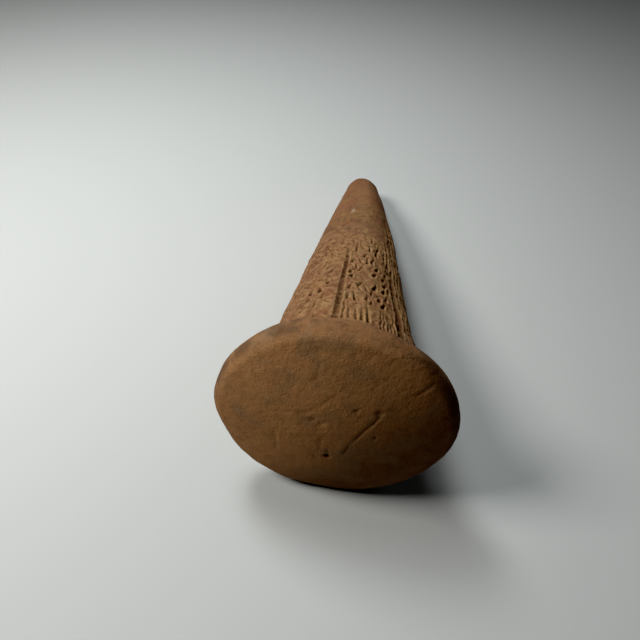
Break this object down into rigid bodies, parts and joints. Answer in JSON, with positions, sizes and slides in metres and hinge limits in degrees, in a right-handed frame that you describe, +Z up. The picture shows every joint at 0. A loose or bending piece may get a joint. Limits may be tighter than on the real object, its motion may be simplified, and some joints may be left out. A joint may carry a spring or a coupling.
{
  "type": "foundation cone",
  "caption": "Fired clay nail with a domed mushroom head and a tapering shaft inscribed in ruled rows of pressed strokes, lying on its rim and tip.",
  "frame": {"origin": "on the ground, under the middle of the cone's box as it lies", "axes": "+Z up; +Y along the ground from the head to the tip; +X to the right as seen from the head"},
  "size_m": [0.0548, 0.1264, 0.0523],
  "materials": {
    "fired_clay": "matt unglazed fired clay, worn, with earth in the strokes"
  },
  "bodies": {
    "root": {"foundation_cone": "fired_clay"}
  },
  "joints": []
}
